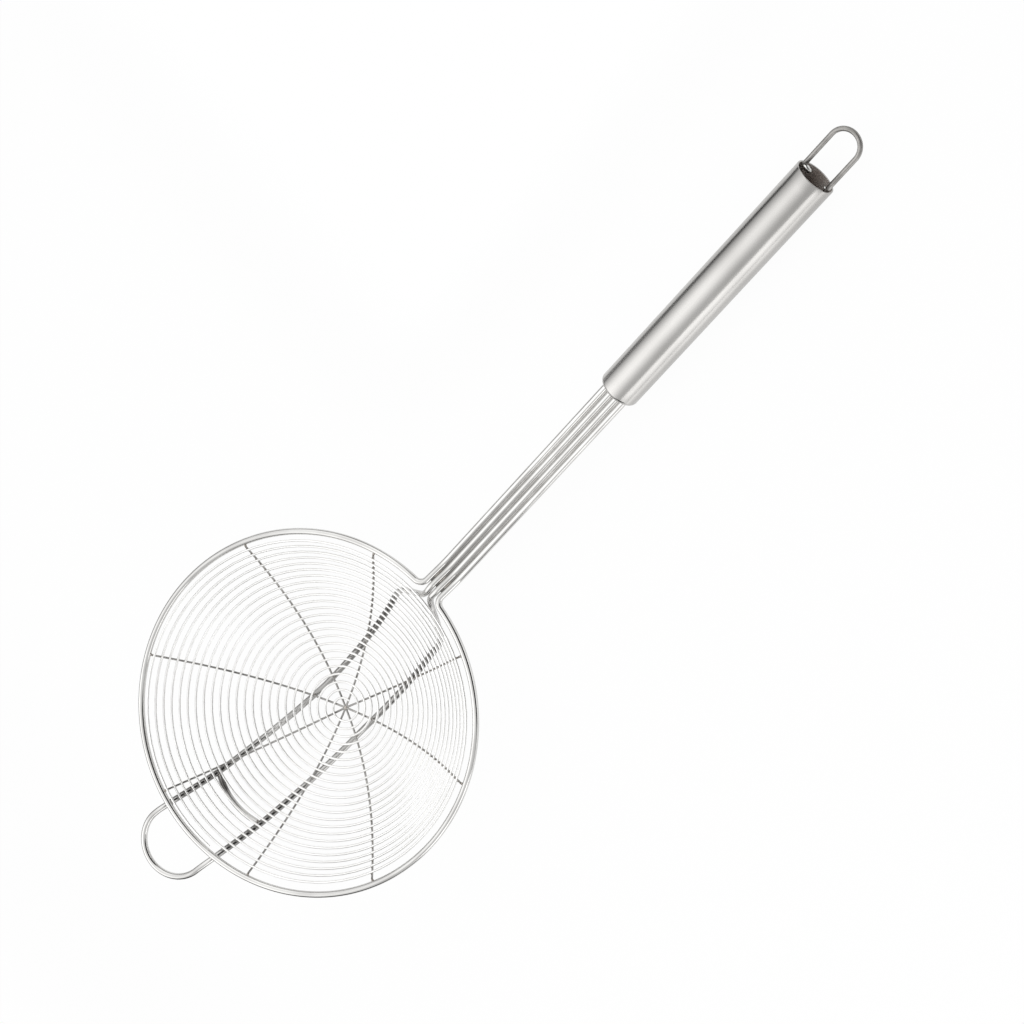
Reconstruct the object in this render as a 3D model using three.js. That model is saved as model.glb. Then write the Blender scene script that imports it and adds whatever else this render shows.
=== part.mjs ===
// A spiral wire skimmer: a wound wire basket on a four-wire stem, with a tube handle and a hanging loop.
// Lengths are millimetres and angles are degrees. The pieces are drawn with the rim in the plane z = 0,
// the rim's centre at the origin and the stem along +X. The whole skimmer is then tipped to lie as it
// does on a table, on its two cradle rails and its handle.
import * as THREE from 'three';
import { mergeVertices } from 'three/addons/utils/BufferGeometryUtils.js';

// Driving dimensions

// Every pair of pieces that is welded or pressed together keeps this small gap
const SEAT_GAP = 0.3;

// The rim is one wire: a ring whose two ends turn out and run back as the outer wires of the stem
const FRAME_WIRE = 2.5;
const RIM_DIAMETER = 140;
const NECK_BEND_RADIUS = 3.6;

// The stem leaves level with the rim, then bends up towards the handle
const STEM_BEND_DISTANCE = 11;
const STEM_BEND_RADIUS = 25;
const STEM_RISE = 14.4;
const STEM_RUN = 101;
const STEM_INSERT = 28;

// The bowl that the ribs follow, with its low point a little to one side of the stem's line
const BOWL_DEPTH = 34;
const BOWL_POWER = 2.08;
const BOWL_LEAN = -3;

// Eight ribs, by their directions from the stem's line
const RIB_WIRE = 0.8;
const RIB_DIRECTIONS = [22, 68, 120, 166, 206, 251, 297, 338];
const RIB_TIP_RADIUS = 0.9;

// The spiral lies on the ribs, evenly spaced along the bowl, and ends just inside the rim near the hook
const SPIRAL_WIRE = 0.9;
const SPIRAL_TURNS = 23.5;
const SPIRAL_START_RADIUS = 3.5;
const SPIRAL_SETBACK = 3;
const SPIRAL_END_RADIUS = RIM_DIAMETER / 2 - SPIRAL_SETBACK;
const SPIRAL_END_DIRECTION = 190;

// The cradle is one wire: the inner two of the stem, two rails under the bowl and a hook in front
const RAIL_HALF_SPAN_NECK = 12.6;
const RAIL_HALF_SPAN_MIDDLE = 11.5;
const RAIL_SHIFT_NECK = -1.3;
const RAIL_SHIFT_BRACE = -2.9;
const RAIL_FLARE_LENGTH = 12;
const RAIL_SETBACK = 12;
const RAIL_LEAVES_BOWL_AT = RIM_DIAMETER / 2 - RAIL_SETBACK;
const HOOK_RADIUS = 13.8;
const HOOK_REACH = 20;
const HOOK_SHIFT = -1;
const HOOK_LEVEL = 0.5;
const HOOK_LEVELS_OFF_AT = 0.5;
const RIM_PASS_SLOPE = 33;

// The cross brace joins the rails near the front, bowed towards the hook
const BRACE_WIRE = 2.4;
const BRACE_SETBACK = 16.6;
const BRACE_DISTANCE = RIM_DIAMETER / 2 - BRACE_SETBACK;
const BRACE_BOW_RADIUS = 33;

// The handle is a round tube, with its mouth rolled in around the stem
const HANDLE_DIAMETER = 15;
const HANDLE_WALL = 0.6;
const HANDLE_LENGTH = 106.3;

// The hanging loop is a U of wire with its legs inside the handle
const LOOP_WIRE = 1.8;
const LOOP_REACH = 20.6;
const LOOP_INSERT = 30;

// Facet counts
const WIRE_SIDES = 8;
const FINE_WIRE_SIDES = 6;
const RING_STEPS = 72;
const BEND_STEPS = 5;
const CRADLE_STEPS = 120;
const FLARE_STEPS = 5;
const RAIL_STEPS = 14;
const HOOK_BEND_STEPS = 10;
const RIB_STEPS = 14;
const RIB_STEP_GROWTH = 1.6;
const SPIRAL_STEPS_PER_TURN = 24;
const PROFILE_STEPS = 24;
const BRACE_STEPS = 9;
const LOOP_BEND_STEPS = 13;
const TUBE_SIDES = 32;
const ROLL_STEPS = 5;

// Rounds that settle where a place lies in the leaning bowl
const SHARE_ROUNDS = 12;

// Sizes that follow from the driving dimensions
const RIM_RADIUS = (RIM_DIAMETER - FRAME_WIRE) / 2;
const WIRE_PITCH = FRAME_WIRE + SEAT_GAP;
const INNER_LEG = WIRE_PITCH / 2;
const OUTER_LEG = INNER_LEG + WIRE_PITCH;
const STEM_BEND_X = RIM_DIAMETER / 2 + STEM_BEND_DISTANCE;
const HOOK_TIP_X = -(RIM_DIAMETER / 2 + HOOK_REACH - FRAME_WIRE / 2);
const HOOK_CENTRE_X = HOOK_TIP_X + HOOK_RADIUS;
const BOWL_RADIUS = RIM_RADIUS - FRAME_WIRE / 2 - SEAT_GAP - RIB_WIRE / 2;
const SPIRAL_LIFT = (RIB_WIRE + SPIRAL_WIRE) / 2 + SEAT_GAP;
const RAIL_DROP = (RIB_WIRE + FRAME_WIRE) / 2 + SEAT_GAP;

const radians = THREE.MathUtils.degToRad;
const lerp = THREE.MathUtils.lerp;
const DOWN = new THREE.Vector3(0, 0, -1);

const wireSteel = { color: 0xd9d9d6, roughness: 0.18, metalness: 1.0 };
const handleSteel = { color: 0xc9c7c2, roughness: 0.34, metalness: 1.0 };

// Names a closed geometry and gives it its own material
function piece(name, geometry, finish) {
  geometry.computeVertexNormals();
  const mesh = new THREE.Mesh(geometry, new THREE.MeshStandardMaterial(finish));
  mesh.name = name;
  return mesh;
}

// A closed round wire along a list of points, with a flat facet facing down.
// widthAt, where given, is the share of the full width that the wire has at a point.
function wire(points, diameter, sides, widthAt = () => 1) {
  const positions = [];
  const triangles = [];
  points.forEach((point, i) => {
    const ahead = points[Math.min(i + 1, points.length - 1)];
    const behind = points[Math.max(i - 1, 0)];
    const tangent = ahead.clone().sub(behind).normalize();
    const under = DOWN.clone().addScaledVector(tangent, -DOWN.dot(tangent)).normalize();
    const side = tangent.clone().cross(under);
    for (let k = 0; k < sides; k += 1) {
      const angle = (2 * Math.PI * (k + 0.5)) / sides;
      const corner = point.clone();
      corner.addScaledVector(under, (diameter / 2) * Math.cos(angle));
      corner.addScaledVector(side, (diameter / 2) * Math.sin(angle) * widthAt(i));
      positions.push(corner.x, corner.y, corner.z);
    }
  });
  for (let i = 0; i < points.length - 1; i += 1) {
    for (let k = 0; k < sides; k += 1) {
      const a = i * sides + k;
      const b = i * sides + ((k + 1) % sides);
      triangles.push(a, b, a + sides, b, b + sides, a + sides);
    }
  }
  const last = (points.length - 1) * sides;
  for (let k = 1; k < sides - 1; k += 1) {
    triangles.push(0, k + 1, k);
    triangles.push(last, last + k, last + k + 1);
  }
  const geometry = new THREE.BufferGeometry();
  geometry.setAttribute('position', new THREE.Float32BufferAttribute(positions, 3));
  geometry.setIndex(triangles);
  return geometry;
}

// Points along an arc in a level plane, both ends included
function levelArc(centreX, centreY, radius, startAngle, endAngle, steps, height = 0) {
  return Array.from({ length: steps + 1 }, (_, i) => {
    const angle = lerp(startAngle, endAngle, i / steps);
    return new THREE.Vector3(centreX + radius * Math.cos(angle), centreY + radius * Math.sin(angle), height);
  });
}

// The bowl: share is 0 at its low point and 1 at the ribs' outer ends, lift is the height over the ribs
function bowlPoint(share, direction, lift = 0) {
  const slope = bowlSlope(share);
  const outwards = share * BOWL_RADIUS - (lift * slope) / Math.hypot(1, slope);
  const height = bowlHeight(share) + lift / Math.hypot(1, slope);
  const angle = radians(direction);
  const lean = BOWL_LEAN * (1 - share);
  return new THREE.Vector3(outwards * Math.cos(angle), lean + outwards * Math.sin(angle), height);
}

function bowlHeight(share) {
  return -BOWL_DEPTH * (1 - share ** BOWL_POWER);
}

function bowlSlope(share) {
  return (BOWL_DEPTH * BOWL_POWER * share ** (BOWL_POWER - 1)) / BOWL_RADIUS;
}

// The share of the bowl that lies over a place, found by a few rounds because the bowl leans
function bowlShareAt(x, y) {
  let share = 1;
  for (let round = 0; round < SHARE_ROUNDS; round += 1) {
    share = Math.hypot(x, y - BOWL_LEAN * (1 - share)) / BOWL_RADIUS;
  }
  return share;
}

// The height of a wire that hugs the underside of the ribs
function undersideHeight(x, y) {
  const share = bowlShareAt(x, y);
  return bowlHeight(share) - RAIL_DROP * Math.hypot(1, bowlSlope(share));
}

// One stem wire from the neck to its end inside the handle
function stemRoute(y) {
  const rise = radians(STEM_RISE);
  const setback = STEM_BEND_RADIUS * Math.tan(rise / 2);
  const bend = Array.from({ length: BEND_STEPS + 1 }, (_, i) => {
    const angle = (rise * i) / BEND_STEPS;
    const x = STEM_BEND_X - setback + STEM_BEND_RADIUS * Math.sin(angle);
    return new THREE.Vector3(x, y, STEM_BEND_RADIUS * (1 - Math.cos(angle)));
  });
  const run = STEM_RUN + STEM_INSERT;
  const end = new THREE.Vector3(STEM_BEND_X + run * Math.cos(rise), y, run * Math.sin(rise));
  return [...bend, end];
}

// Rim wire: out of the handle, round the ring and back into the handle
function rimWire() {
  const bendY = OUTER_LEG + NECK_BEND_RADIUS;
  const reach = RIM_RADIUS + NECK_BEND_RADIUS;
  const bendX = Math.sqrt(reach ** 2 - bendY ** 2);
  const opening = Math.asin(bendY / reach);
  const ring = levelArc(0, 0, RIM_RADIUS, opening, 2 * Math.PI - opening, RING_STEPS);
  const bendIn = levelArc(bendX, bendY, NECK_BEND_RADIUS, 1.5 * Math.PI, Math.PI + opening, BEND_STEPS);
  const bendOut = levelArc(bendX, -bendY, NECK_BEND_RADIUS, Math.PI - opening, 0.5 * Math.PI, BEND_STEPS);
  const legIn = stemRoute(OUTER_LEG).reverse();
  const legOut = stemRoute(-OUTER_LEG);
  const route = [...legIn, ...bendIn, ...ring.slice(1, -1), ...bendOut, ...legOut];
  return wire(route, FRAME_WIRE, WIRE_SIDES);
}

// Half the distance between the rails, at a place along the stem's line
function railHalfSpan(x) {
  if (x > 0) {
    return lerp(RAIL_HALF_SPAN_MIDDLE, RAIL_HALF_SPAN_NECK, x / RIM_RADIUS);
  }
  return lerp(RAIL_HALF_SPAN_MIDDLE, HOOK_RADIUS, Math.min(-x / RIM_RADIUS, 1));
}

// How far the middle of the two rails lies beside the stem's line, at a place along that line
function railShift(x) {
  if (x > -BRACE_DISTANCE) {
    const share = (x + BRACE_DISTANCE) / (RIM_RADIUS + BRACE_DISTANCE);
    return lerp(RAIL_SHIFT_BRACE, RAIL_SHIFT_NECK, share);
  }
  return lerp(RAIL_SHIFT_BRACE, HOOK_SHIFT, (x + BRACE_DISTANCE) / (HOOK_CENTRE_X + BRACE_DISTANCE));
}

// One rail's places from the neck to the rim in front, on the side given by its sign
function railRoute(sign) {
  const flareStart = RIM_RADIUS - FRAME_WIRE / 2;
  const flareEnd = flareStart - RAIL_FLARE_LENGTH;
  const route = [];
  route.push(new THREE.Vector3(RIM_RADIUS + 2 * FRAME_WIRE, sign * INNER_LEG, 0));
  route.push(new THREE.Vector3(RIM_RADIUS + FRAME_WIRE, sign * INNER_LEG, -SEAT_GAP));
  for (let i = 0; i <= FLARE_STEPS; i += 1) {
    const x = lerp(flareStart, flareEnd, i / FLARE_STEPS);
    const spread = THREE.MathUtils.smoothstep(i / FLARE_STEPS, 0, 1);
    const y = lerp(sign * INNER_LEG, railShift(x) + sign * railHalfSpan(x), spread);
    route.push(new THREE.Vector3(x, y, undersideHeight(x, y)));
  }
  for (let i = 1; i <= RAIL_STEPS; i += 1) {
    const x = lerp(flareEnd, -RAIL_LEAVES_BOWL_AT, i / RAIL_STEPS);
    const y = railShift(x) + sign * railHalfSpan(x);
    route.push(new THREE.Vector3(x, y, undersideHeight(x, y)));
  }
  route.push(rimPass(sign));
  return route;
}

// Where a rail goes under the rim, just clear of it
function rimPass(sign) {
  const slope = radians(RIM_PASS_SLOPE);
  const outwards = RIM_RADIUS + WIRE_PITCH * Math.sin(slope);
  const y = railShift(-RIM_RADIUS) + sign * railHalfSpan(-RIM_RADIUS);
  return new THREE.Vector3(-Math.sqrt(outwards ** 2 - y ** 2), y, -WIRE_PITCH * Math.cos(slope));
}

// The hook's half circle in front of the rim, levelling out as it leaves the rim
function hookRoute() {
  const pass = rimPass(1);
  const levelAt = lerp(pass.x, HOOK_TIP_X, HOOK_LEVELS_OFF_AT);
  const from = 0.5 * Math.PI;
  const to = 1.5 * Math.PI;
  const bend = levelArc(HOOK_CENTRE_X, HOOK_SHIFT, HOOK_RADIUS, from, to, HOOK_BEND_STEPS);
  bend.forEach((point) => {
    const left = THREE.MathUtils.clamp((point.x - levelAt) / (pass.x - levelAt), 0, 1);
    point.z = lerp(HOOK_LEVEL, pass.z, left ** 2);
  });
  return bend;
}

// Cradle wire: down from the stem, under the bowl, round the hook and back to the stem
function cradleWire() {
  const basket = [...railRoute(1), ...hookRoute(), ...railRoute(-1).reverse()];
  const smooth = new THREE.CatmullRomCurve3(basket, false, 'centripetal').getSpacedPoints(CRADLE_STEPS);
  const legIn = stemRoute(INNER_LEG).reverse();
  const legOut = stemRoute(-INNER_LEG);
  return wire([...legIn, ...smooth, ...legOut], FRAME_WIRE, WIRE_SIDES);
}

// Cross brace: bowed, from the inside of one rail to the inside of the other
function crossBrace() {
  const bowX = (y) => BRACE_BOW_RADIUS - BRACE_DISTANCE - Math.sqrt(BRACE_BOW_RADIUS ** 2 - y ** 2);
  const railX = bowX(railHalfSpan(-BRACE_DISTANCE));
  const halfSpan = railHalfSpan(railX) - FRAME_WIRE / 2 - SEAT_GAP;
  const middle = railShift(railX);
  const route = Array.from({ length: BRACE_STEPS + 1 }, (_, i) => {
    const y = lerp(halfSpan, -halfSpan, i / BRACE_STEPS);
    const x = bowX(y);
    return new THREE.Vector3(x, middle + y, undersideHeight(x, middle + y));
  });
  return wire(route, BRACE_WIRE, WIRE_SIDES);
}

// One rib from the bowl's low point to the rim, narrowed at its tip where the ribs meet
function rib(direction, halfAngle) {
  const tipShare = RIB_TIP_RADIUS / BOWL_RADIUS;
  const shares = Array.from({ length: RIB_STEPS + 1 }, (_, i) => {
    return tipShare + (1 - tipShare) * (i / RIB_STEPS) ** RIB_STEP_GROWTH;
  });
  const widthAt = (i) => {
    const room = shares[i] * BOWL_RADIUS * Math.tan(halfAngle) - SEAT_GAP / 2;
    return Math.min(1, (2 * room) / RIB_WIRE);
  };
  const route = shares.map((share) => bowlPoint(share, direction));
  return wire(route, RIB_WIRE, FINE_WIRE_SIDES, widthAt);
}

// Half the angle between the two ribs that are closest together
function closestRibHalfAngle() {
  const gaps = RIB_DIRECTIONS.map((direction, i) => {
    const next = RIB_DIRECTIONS[(i + 1) % RIB_DIRECTIONS.length];
    return (next - direction + 360) % 360;
  });
  return radians(Math.min(...gaps)) / 2;
}

// The bowl's profile between the spiral's two ends, as radius and height
function spiralProfile() {
  const points = Array.from({ length: PROFILE_STEPS + 1 }, (_, i) => {
    const radius = lerp(SPIRAL_START_RADIUS, SPIRAL_END_RADIUS, i / PROFILE_STEPS);
    return new THREE.Vector2(radius, bowlHeight(radius / BOWL_RADIUS));
  });
  return new THREE.SplineCurve(points);
}

// Places along the spiral, from near the bowl's low point out to the rim
function spiralRoute() {
  const steps = Math.round(SPIRAL_TURNS * SPIRAL_STEPS_PER_TURN);
  const profile = spiralProfile();
  profile.arcLengthDivisions = steps;
  return profile.getSpacedPoints(steps).map((place, i) => {
    const direction = SPIRAL_END_DIRECTION - (360 * (steps - i)) / SPIRAL_STEPS_PER_TURN;
    return bowlPoint(place.x / BOWL_RADIUS, direction, SPIRAL_LIFT);
  });
}

// The least gap between the spiral's turns, measured between points at least half a turn apart
function leastSpiralGap(route) {
  let least = Infinity;
  for (let i = 0; i < route.length; i += 1) {
    for (let j = i + SPIRAL_STEPS_PER_TURN / 2; j < route.length; j += 1) {
      least = Math.min(least, route[i].distanceTo(route[j]));
    }
  }
  return least - SPIRAL_WIRE;
}

// Handle tube along +X from its mouth, open at its far end
function handleTube() {
  const outer = HANDLE_DIAMETER / 2;
  const inner = outer - HANDLE_WALL;
  const mouth = OUTER_LEG + FRAME_WIRE / 2 + SEAT_GAP;
  const roll = outer - mouth;
  const profile = [];
  for (let i = 0; i <= ROLL_STEPS; i += 1) {
    const angle = (0.5 * Math.PI * i) / ROLL_STEPS;
    profile.push(new THREE.Vector2(mouth + roll * Math.sin(angle), roll * (1 - Math.cos(angle))));
  }
  profile.push(new THREE.Vector2(outer, HANDLE_LENGTH));
  profile.push(new THREE.Vector2(inner, HANDLE_LENGTH));
  for (let i = ROLL_STEPS; i >= 0; i -= 1) {
    const angle = (0.5 * Math.PI * i) / ROLL_STEPS;
    const inside = roll - HANDLE_WALL;
    profile.push(new THREE.Vector2(mouth + inside * Math.sin(angle), roll - inside * Math.cos(angle)));
  }
  profile.push(profile[0].clone());
  const turned = new THREE.LatheGeometry(profile, TUBE_SIDES, Math.PI / TUBE_SIDES);
  turned.deleteAttribute('normal');
  turned.deleteAttribute('uv');
  return mergeVertices(turned.rotateZ(-Math.PI / 2));
}

// Hanging loop along +X, with its legs against the inside of the handle's wall
function hangingLoop() {
  const halfSpan = HANDLE_DIAMETER / 2 - HANDLE_WALL - SEAT_GAP - LOOP_WIRE / 2;
  const bendX = HANDLE_LENGTH + LOOP_REACH - LOOP_WIRE / 2 - halfSpan;
  const legX = HANDLE_LENGTH - LOOP_INSERT;
  const bend = levelArc(bendX, 0, halfSpan, 0.5 * Math.PI, -0.5 * Math.PI, LOOP_BEND_STEPS);
  const start = new THREE.Vector3(legX, halfSpan, 0);
  const end = new THREE.Vector3(legX, -halfSpan, 0);
  return wire([start, ...bend, end], LOOP_WIRE, WIRE_SIDES);
}

// The corners of some meshes, in the frame of the group that holds them all
function corners(meshes) {
  return meshes.flatMap((mesh) => {
    mesh.updateWorldMatrix(true, false);
    const position = mesh.geometry.getAttribute('position');
    return Array.from({ length: position.count }, (_, i) => {
      return new THREE.Vector3().fromBufferAttribute(position, i).applyMatrix4(mesh.matrixWorld);
    });
  });
}

// The tip about Y that brings the cradle and the handle down onto one level plane
function lyingAngle(cradle, handle) {
  const low = corners([cradle]);
  const angles = corners([handle]).map((end) => {
    return Math.max(...low.map((point) => Math.atan2(end.z - point.z, end.x - point.x)));
  });
  return Math.min(...angles);
}

// The skimmer, piece by piece
const skimmer = new THREE.Group();
skimmer.add(piece('rim_wire', rimWire(), wireSteel));

const cradle = piece('cradle_wire', cradleWire(), wireSteel);
skimmer.add(cradle);
skimmer.add(piece('cross_brace', crossBrace(), wireSteel));

const ribHalfAngle = closestRibHalfAngle();
RIB_DIRECTIONS.forEach((direction, i) => {
  skimmer.add(piece(`rib_${i + 1}`, rib(direction, ribHalfAngle), wireSteel));
});

const spiral = spiralRoute();
skimmer.add(piece('spiral_wire', wire(spiral, SPIRAL_WIRE, FINE_WIRE_SIDES), wireSteel));
console.log(`least gap between the spiral's turns: ${leastSpiralGap(spiral).toFixed(2)} mm`);

// The handle's group starts at the handle's mouth, with +X along the stem
const handle = new THREE.Group();
const rise = radians(STEM_RISE);
handle.position.set(STEM_BEND_X + STEM_RUN * Math.cos(rise), 0, STEM_RUN * Math.sin(rise));
handle.rotation.y = -rise;
const tube = piece('handle_tube', handleTube(), handleSteel);
handle.add(tube);
handle.add(piece('hanging_loop', hangingLoop(), wireSteel));
skimmer.add(handle);

// Lay the skimmer down, with the origin under the middle of its box
skimmer.rotation.y = lyingAngle(cradle, tube);
const box = new THREE.Box3().setFromObject(skimmer, true);
const middle = box.getCenter(new THREE.Vector3());
skimmer.position.set(-middle.x, -middle.y, -box.min.z);

const part = new THREE.Group();
part.add(skimmer);

export default part;
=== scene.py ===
# %% [markdown]
# # A spiral wire skimmer
# The skimmer lifts food out of hot liquid. A thin wire is wound into a bowl, on ribs that are welded
# into a thick rim. Four thick wires run back as a flat stem into a steel tube, which ends in a wire eye.
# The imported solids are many-sided wires. This lesson draws each wire again as a smooth round one, in the
# same place, and gives it the marks of drawn, welded and satin steel.

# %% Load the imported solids
import math

import bpy
import numpy as np
from mathutils import Matrix, Vector


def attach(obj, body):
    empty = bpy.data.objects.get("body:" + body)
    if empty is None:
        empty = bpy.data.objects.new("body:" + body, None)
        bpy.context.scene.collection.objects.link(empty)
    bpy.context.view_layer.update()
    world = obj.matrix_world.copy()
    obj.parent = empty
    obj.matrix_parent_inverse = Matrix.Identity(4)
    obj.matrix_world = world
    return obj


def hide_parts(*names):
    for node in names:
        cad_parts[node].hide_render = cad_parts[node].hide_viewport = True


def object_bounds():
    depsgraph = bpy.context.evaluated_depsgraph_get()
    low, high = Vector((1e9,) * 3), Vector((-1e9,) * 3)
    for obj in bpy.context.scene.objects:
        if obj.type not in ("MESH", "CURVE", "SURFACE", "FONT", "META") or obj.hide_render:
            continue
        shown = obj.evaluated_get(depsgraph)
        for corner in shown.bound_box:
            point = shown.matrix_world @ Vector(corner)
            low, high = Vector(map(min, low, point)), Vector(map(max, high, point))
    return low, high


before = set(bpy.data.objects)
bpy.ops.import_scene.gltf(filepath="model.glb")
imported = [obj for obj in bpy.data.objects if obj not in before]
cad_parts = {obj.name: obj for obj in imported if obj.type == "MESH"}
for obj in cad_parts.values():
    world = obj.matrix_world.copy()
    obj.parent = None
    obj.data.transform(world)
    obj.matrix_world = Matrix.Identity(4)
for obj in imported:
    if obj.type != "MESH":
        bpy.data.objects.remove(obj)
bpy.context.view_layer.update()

# %% [markdown]
# ## The camera
# The photograph looks down on the skimmer from the side of its handle. Its place, turn and lens were
# worked out from the rim's ellipse and the handle's width, so they are given as plain numbers here.

# %% Camera
CAMERA_PLACE = (0.492259, -0.166342, 0.749707)
CAMERA_TURN_DEGREES = (-16.6692, 31.1849, -48.7127)
CAMERA_LENS = 87.891
CAMERA_SENSOR = 36.0

bpy.ops.object.select_all(action="DESELECT")
bpy.ops.object.camera_add(
    location=CAMERA_PLACE,
    rotation=[math.radians(angle) for angle in CAMERA_TURN_DEGREES],
)
camera = bpy.context.object
camera.name = "photo_camera"
camera.data.lens = CAMERA_LENS
camera.data.sensor_width = CAMERA_SENSOR
bpy.context.scene.camera = camera
print("camera lens in mm:", round(camera.data.lens, 1))

# %% [markdown]
# ## The rim's own frame
# The skimmer lies tipped on the table, on its rails and its handle. It is far easier to draw it with the
# rim level, its centre at the origin and the stem along X, in millimetres, and to tip each finished line
# over afterwards. One matrix says how the level skimmer lies.

# %% Sizes that every wire shares
MM = 0.001
LYING_ANGLE = math.radians(16.4433)
RIM_PLACE = Vector((-0.109573, 0, 0.037779))
LAID = Matrix.Translation(RIM_PLACE) @ Matrix.Rotation(LYING_ANGLE, 4, "Y")

SEAT_GAP = 0.3
FRAME_WIRE = 2.5
RIB_WIRE = 0.8
WINDING_WIRE = 0.9
RIM_DIAMETER = 140
RIM_RADIUS = (RIM_DIAMETER - FRAME_WIRE) / 2
WIRE_PITCH = FRAME_WIRE + SEAT_GAP
INNER_LEG = WIRE_PITCH / 2
OUTER_LEG = INNER_LEG + WIRE_PITCH
print("rim radius in mm:", RIM_RADIUS, "stem wires at mm:", INNER_LEG, OUTER_LEG)

# %% [markdown]
# ## Drawing a wire
# A bent wire can be made by pushing a circle along its way, but the circle has to be turned at each bend.
# It is easier to draw only the middle of the wire: one vertex is extruded for each straight stretch and
# spun for each round bend. The line is then made a curve, which has a round bevel, and a mesh again.
# Spin turns clockwise about its axis, and so does rotate without a window, so both get minus the angle.

# %% A pen for centre lines
LONGEST_STEP = 3.0


class WirePen:
    """Draws the middle of a wire in edit mode, in millimetres of the rim's frame."""

    def __init__(self, name, start):
        bpy.ops.object.select_all(action="DESELECT")
        bpy.ops.mesh.primitive_plane_add(size=MM)
        self.line = bpy.context.object
        self.line.name = name
        self.place = Vector(start)
        bpy.ops.object.mode_set(mode="EDIT")
        bpy.ops.mesh.select_all(action="SELECT")
        bpy.ops.mesh.merge(type="CENTER")
        bpy.ops.transform.translate(value=self.place * MM)

    def run_to(self, point, longest=LONGEST_STEP):
        """A straight stretch, in even steps."""
        way = Vector(point) - self.place
        steps = max(1, math.ceil(way.length / longest))
        for _ in range(steps):
            bpy.ops.mesh.extrude_region_move(TRANSFORM_OT_translate={"value": way * (MM / steps)})
        self.place = Vector(point)

    def bend(self, centre, axis, degrees, steps):
        """A round bend about a centre."""
        angle = math.radians(degrees)
        bpy.ops.mesh.spin(steps=steps, angle=-angle, center=Vector(centre) * MM, axis=axis)
        turned = Matrix.Rotation(angle, 3, Vector(axis)) @ (self.place - Vector(centre))
        self.place = Vector(centre) + turned


# %% Laying a line down and making it round
MERGE_DISTANCE = 0.000001
SMOOTH_STEPS = 5
END_CAPS = 2
SHARP_ANGLE = math.radians(50)


def lay_down():
    """Tips what is open in edit mode over to where the skimmer lies, and closes edit mode."""
    bpy.ops.mesh.select_all(action="SELECT")
    bpy.ops.transform.rotate(value=-LYING_ANGLE, orient_axis="Y", center_override=(0, 0, 0))
    bpy.ops.transform.translate(value=RIM_PLACE)
    bpy.ops.object.mode_set(mode="OBJECT")


def smooth_handles():
    """Makes the active curve pass through its points in one smooth line."""
    bpy.ops.object.mode_set(mode="EDIT")
    bpy.ops.curve.select_all(action="SELECT")
    bpy.ops.curve.spline_type_set(type="BEZIER")
    bpy.ops.curve.handle_type_set(type="AUTOMATIC")
    bpy.ops.object.mode_set(mode="OBJECT")
    bpy.context.object.data.resolution_u = SMOOTH_STEPS


def map_in_millimetres(wire, diameter, sides):
    """Scales the wire's map to count millimetres along and around it. Its two end caps come first."""
    mesh = wire.data
    corners = np.empty(len(mesh.vertices) * 3)
    mesh.vertices.foreach_get("co", corners)
    middles = corners.reshape(-1, sides, 3)[END_CAPS:].mean(axis=1)
    rings = len(middles)
    steps = np.linalg.norm(np.diff(middles, axis=0), axis=1) / MM
    along = np.concatenate(([0], np.cumsum(steps)))
    layer = mesh.uv_layers[0].data
    flat = np.empty(len(layer) * 2)
    layer.foreach_get("uv", flat)
    places = flat.reshape(-1, 2)
    places[:, 0] = np.interp(places[:, 0] * (rings - 1), np.arange(rings), along)
    places[:, 1] *= math.pi * diameter
    layer.foreach_set("uv", places.ravel())
    return along[-1]


def round_wire(diameter, sides, smooth=False):
    """Makes the active line a round wire with closed ends."""
    bpy.ops.object.convert(target="CURVE")
    if smooth:
        smooth_handles()
    curve = bpy.context.object.data
    curve.bevel_depth = diameter / 2 * MM
    # A bevel resolution of n gives a section of 2 n + 4 sides.
    curve.bevel_resolution = sides // 2 - 2
    curve.use_fill_caps = True
    bpy.ops.object.convert(target="MESH")
    wire = bpy.context.object
    length = map_in_millimetres(wire, diameter, sides)
    bpy.ops.object.mode_set(mode="EDIT")
    bpy.ops.mesh.select_all(action="SELECT")
    bpy.ops.mesh.remove_doubles(threshold=MERGE_DISTANCE)
    bpy.ops.mesh.normals_make_consistent(inside=False)
    bpy.ops.object.mode_set(mode="OBJECT")
    bpy.ops.object.shade_smooth_by_angle(angle=SHARP_ANGLE)
    print(wire.name, "length in mm:", round(length, 1), "faces:", len(wire.data.polygons))
    return wire


def stand_for(piece, slot, *nodes):
    """A finished piece rides on the one body, and stands for the solids that it was drawn over."""
    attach(piece, "root")
    if nodes:
        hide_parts(*nodes)


# %% [markdown]
# ## The rim wire
# The rim is one thick wire. It comes out of the handle as the outer left leg of the stem, bends level,
# turns out at the neck, goes round the bowl and runs back as the outer right leg. Every part of it is
# straight or a part of a circle, so extrude and spin give it exactly.

# %% Rim wire
FRAME_SIDES = 16
NECK_BEND_RADIUS = 3.6
STEM_BEND_X = 81.0
STEM_BEND_RADIUS = 25.0
STEM_RISE = 14.4
STEM_RUN = 101.0
STEM_INSERT = 28.0
STEM_BEND_STEPS = 12
NECK_BEND_STEPS = 14
RING_STEPS = 200

rise = math.radians(STEM_RISE)
stem_setback = STEM_BEND_RADIUS * math.tan(rise / 2)
stem_way = Vector((math.cos(rise), 0, math.sin(rise)))
level_end_x = STEM_BEND_X - stem_setback
bend_centre_z = STEM_BEND_RADIUS


def stem_point(distance, y):
    """A point on a stem wire, by its distance from the corner of the stem's bend."""
    return Vector((STEM_BEND_X, y, 0)) + stem_way * distance


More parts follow.
